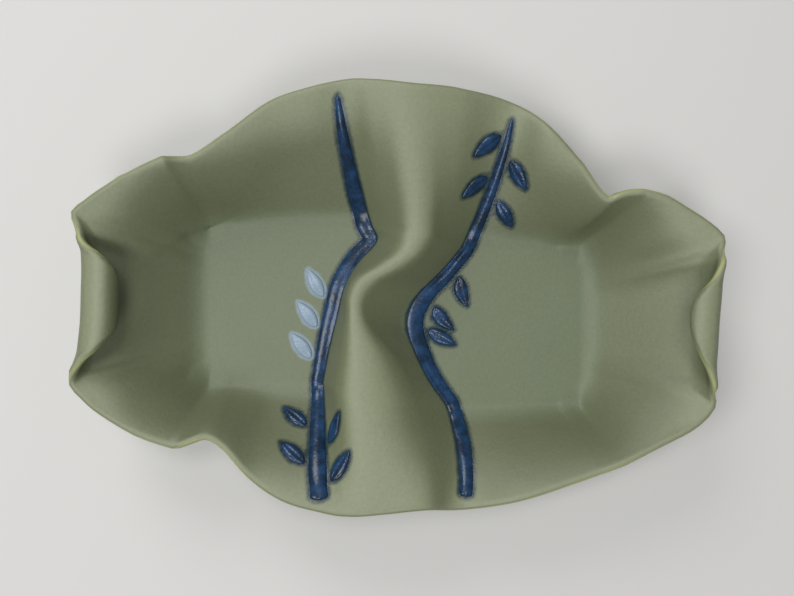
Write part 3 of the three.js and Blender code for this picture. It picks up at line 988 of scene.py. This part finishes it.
class Glaze:
    """A material with one Principled shader, and the nodes that feed it."""

    def __init__(self, name):
        self.material = bpy.data.materials.new(name)
        self.material.use_nodes = True
        self.tree = self.material.node_tree
        self.shader = self.tree.nodes["Principled BSDF"]
        self.place = self.node("ShaderNodeTexCoord", output="Object")

    def node(self, kind, settings=None, sockets=None, output=0):
        made = self.tree.nodes.new(kind)
        for key, value in (settings or {}).items():
            setattr(made, key, value)
        for key, value in (sockets or {}).items():
            self.feed(made.inputs[key], value)
        return Value(self, made.outputs[output])

    def feed(self, socket, value):
        if isinstance(value, Value):
            self.tree.links.new(value.socket, socket)
        elif socket.type == "RGBA":
            socket.default_value = (*value, 1)
        else:
            socket.default_value = value

    def attribute(self, name):
        return self.node("ShaderNodeAttribute", {"attribute_name": name}, output="Fac")

    def noise(self, per_metre, detail=2.0, roughness=0.5):
        return self.node(
            "ShaderNodeTexNoise",
            sockets={"Vector": self.place, "Scale": per_metre, "Detail": detail, "Roughness": roughness},
        )

    def ramp(self, value, low, high, at_low=0.0, at_high=1.0):
        return self.node(
            "ShaderNodeMapRange",
            {"interpolation_type": "SMOOTHSTEP"},
            {"Value": value, "From Min": low, "From Max": high, "To Min": at_low, "To Max": at_high},
        )

    def mix(self, first, second, factor, blend="MIX"):
        return self.node(
            "ShaderNodeMix", {"data_type": "RGBA", "blend_type": blend}, {0: factor, 6: first, 7: second}, 2
        )

    def specks(self, per_metre, size, part):
        """Small round specks, on a part of the cells of a scattered pattern."""
        cells = self.tree.nodes.new("ShaderNodeTexVoronoi")
        self.feed(cells.inputs["Vector"], self.place)
        self.feed(cells.inputs["Scale"], per_metre)
        distance = Value(self, cells.outputs["Distance"])
        pick = self.node("ShaderNodeSeparateColor", sockets={"Color": Value(self, cells.outputs["Color"])})
        return self.ramp(distance, size, size * 0.5) * self.ramp(pick, part, part * 0.9)

    def bump(self, height, distance):
        self.feed(
            self.shader.inputs["Normal"],
            self.node("ShaderNodeBump", sockets={"Height": height, "Distance": distance, "Strength": 1.0}),
        )

    def surface(self, colour, roughness, specular):
        self.feed(self.shader.inputs["Base Color"], colour)
        self.feed(self.shader.inputs["Roughness"], roughness)
        self.feed(self.shader.inputs["Specular IOR Level"], specular)


def sage_glaze(colours):
    """Matte sage green: thin and yellow on the rim, lighter by a painted sheen on high parts that face up,
    stained beside the relief, bare under the floors.
    """
    glaze = Glaze("sage_glaze")
    drift = glaze.noise(14, 3)
    mottle = glaze.noise(420, 4, 0.65)
    grain = glaze.noise(1900, 2)
    height = glaze.node("ShaderNodeSeparateXYZ", sockets={0: glaze.place}, output="Z")
    pooled = glaze.ramp(height, *POOLED_BELOW) * glaze.ramp(drift, 0.3, 0.7, 0.5, 1)
    base = glaze.mix(colours.sage, colours.sage_pooled, pooled)
    # Painted sheen: the lighter green on high parts that face up stands in for light from above.
    base = glaze.mix(base, colours.sage_painted_sheen, glaze.attribute("raised"))
    shade = 0.72 + 0.28 * mottle + 0.28 * grain
    grey = glaze.node("ShaderNodeCombineColor", sockets={0: shade, 1: shade, 2: shade})
    base = glaze.mix(base, grey, 1.0, "MULTIPLY")
    from_rim = glaze.attribute("from_rim")
    thin = glaze.ramp(from_rim + 0.001 * mottle, *THIN_ALONG_RIM) * glaze.ramp(drift, 0.25, 0.6, 0.4, 0.8)
    base = glaze.mix(base, colours.sage_thin, thin)
    wander = FEATHER_WANDER * glaze.noise(300, 3)
    stain = glaze.ramp(glaze.attribute("from_navy") + wander, *NAVY_FEATHERS)
    base = glaze.mix(base, colours.navy_edge, stain)
    pale = glaze.ramp(glaze.attribute("from_pale") + wander, *PALE_FEATHERS)
    base = glaze.mix(base, colours.pale_blue, pale * 0.75)
    base = glaze.mix(base, colours.iron, glaze.specks(150, 0.07, 0.05) * 0.8)
    bare = glaze.ramp(height + 0.0008 * mottle, *BARE_BELOW)
    base = glaze.mix(base, colours.clay, bare)
    glaze.surface(base, roughness=0.42 + 0.1 * grain - 0.25 * stain, specular=0.55)
    glaze.bump(grain * 0.5 + mottle, GRAIN_HEIGHT)
    return glaze.material


def navy_glaze(colours):
    """Glossy blue that runs from navy where it lies thick to cobalt where it breaks."""
    glaze = Glaze("navy_glaze")
    run = glaze.noise(110, 3, 0.6)
    grain = glaze.noise(1300, 3)
    base = glaze.mix(colours.navy, colours.cobalt, glaze.ramp(run, 0.35, 0.7))
    base = glaze.mix(base, colours.pale_blue, glaze.ramp(grain, 0.6, 0.8) * 0.1)
    glaze.surface(base, roughness=0.2 + 0.1 * run, specular=0.45)
    glaze.bump(glaze.noise(300, 2), RUN_HEIGHT)
    return glaze.material


def pale_blue_glaze(colours):
    """Pale blue with cobalt where it pools."""
    glaze = Glaze("pale_blue_glaze")
    run = glaze.noise(120, 3, 0.6)
    base = glaze.mix(colours.pale_blue, colours.cobalt, glaze.ramp(run, 0.55, 0.8) * 0.7)
    glaze.surface(base, roughness=0.22 + 0.1 * run, specular=0.5)
    glaze.bump(glaze.noise(300, 2), RUN_HEIGHT)
    return glaze.material


# Stage

FLOOR_HALF = 4  # half the floor's width in metres
SENSOR_WIDTH = 36  # in millimetres

# Lamps (name, azimuth and elevation in degrees, width in metres, level). A level of 1 lights a white sheet
# that faces the lamp to plain white.
LAMPS = (
    ("left", 180, 58, 0.8, 0.29),
    ("front", 262, 56, 0.8, 0.27),
    ("back", 90, 72, 0.6, 0.2),
    ("low_back", 112, 33, 0.9, 0.3),
)


class DISH_OT_stage(Operator):
    """Set the floor, the light and the camera"""

    bl_idname = "dish.stage"
    bl_label = "Stage"

    def execute(self, context):
        scene = context.scene
        settings = scene.dish_stage
        bm = bmesh.new()
        bmesh.ops.create_grid(bm, x_segments=1, y_segments=1, size=FLOOR_HALF)
        mesh = bpy.data.meshes.new("floor")
        bm.to_mesh(mesh)
        bm.free()
        floor = bpy.data.objects.new("floor", mesh)
        scene.collection.objects.link(floor)
        paint = bpy.data.materials.new("floor_paint")
        paint.use_nodes = True
        shader = paint.node_tree.nodes["Principled BSDF"]
        shader.inputs["Base Color"].default_value = (*settings.floor, 1)
        shader.inputs["Roughness"].default_value = 0.9
        shader.inputs["Specular IOR Level"].default_value = 0.1
        mesh.materials.append(paint)
        for name, azimuth, elevation, width, level in LAMPS:
            around = math.radians(azimuth)
            above = math.radians(elevation)
            towards = Vector((
                math.cos(around) * math.cos(above), math.sin(around) * math.cos(above), math.sin(above)
            ))
            light = bpy.data.lights.new(name, "AREA")
            light.shape = "DISK"
            light.size = width
            light.energy = settings.light * level * (math.pi * settings.lamp_distance) ** 2
            lamp = bpy.data.objects.new(name, light)
            lamp.location = towards * settings.lamp_distance
            lamp.rotation_euler = towards.to_track_quat("Z", "Y").to_euler()
            scene.collection.objects.link(lamp)
        world = bpy.data.worlds.new("surroundings")
        world.use_nodes = True
        world.node_tree.nodes["Background"].inputs["Color"].default_value = (1, 1, 1, 1)
        world.node_tree.nodes["Background"].inputs["Strength"].default_value = settings.surroundings
        scene.world = world
        lens = bpy.data.cameras.new("camera")
        lens.lens = settings.focal_length
        lens.sensor_width = SENSOR_WIDTH
        camera = bpy.data.objects.new("camera", lens)
        camera.location = DRAWING_ORIGIN + Vector((0, 0, settings.camera_height))
        scene.collection.objects.link(camera)
        scene.camera = camera
        scene.view_settings.view_transform = "Standard"
        return {"FINISHED"}


class DISH_PT_panel(Panel):
    """The dish's sizes, colours and steps"""

    bl_idname = "DISH_PT_panel"
    bl_label = "Divided Serving Dish"
    bl_space_type = "VIEW_3D"
    bl_region_type = "UI"
    bl_category = "Dish"

    def draw(self, context):
        for operator in (DISH_OT_trails, DISH_OT_leaves, DISH_OT_slab, DISH_OT_stage):
            self.layout.operator(operator.bl_idname)
        for group in SETTINGS:
            box = self.layout.box()
            settings = getattr(context.scene, group)
            for name in settings.__annotations__:
                box.prop(settings, name)


SETTINGS = {
    "dish_slab": DishSlabSizes,
    "dish_relief": DishReliefSizes,
    "dish_glazes": DishGlazeColours,
    "dish_stage": DishStageSettings,
}
CLASSES = (*SETTINGS.values(), DISH_OT_trails, DISH_OT_leaves, DISH_OT_slab, DISH_OT_stage, DISH_PT_panel)


def register():
    for made in CLASSES:
        bpy.utils.register_class(made)
    for name, group in SETTINGS.items():
        setattr(bpy.types.Scene, name, PointerProperty(type=group))


def unregister():
    for name in SETTINGS:
        delattr(bpy.types.Scene, name)
    for made in reversed(CLASSES):
        bpy.utils.unregister_class(made)


def main():
    register()
    bpy.ops.dish.trails()
    bpy.ops.dish.leaves()
    bpy.ops.dish.slab()
    bpy.ops.dish.stage()


if __name__ == "__main__":
    main()
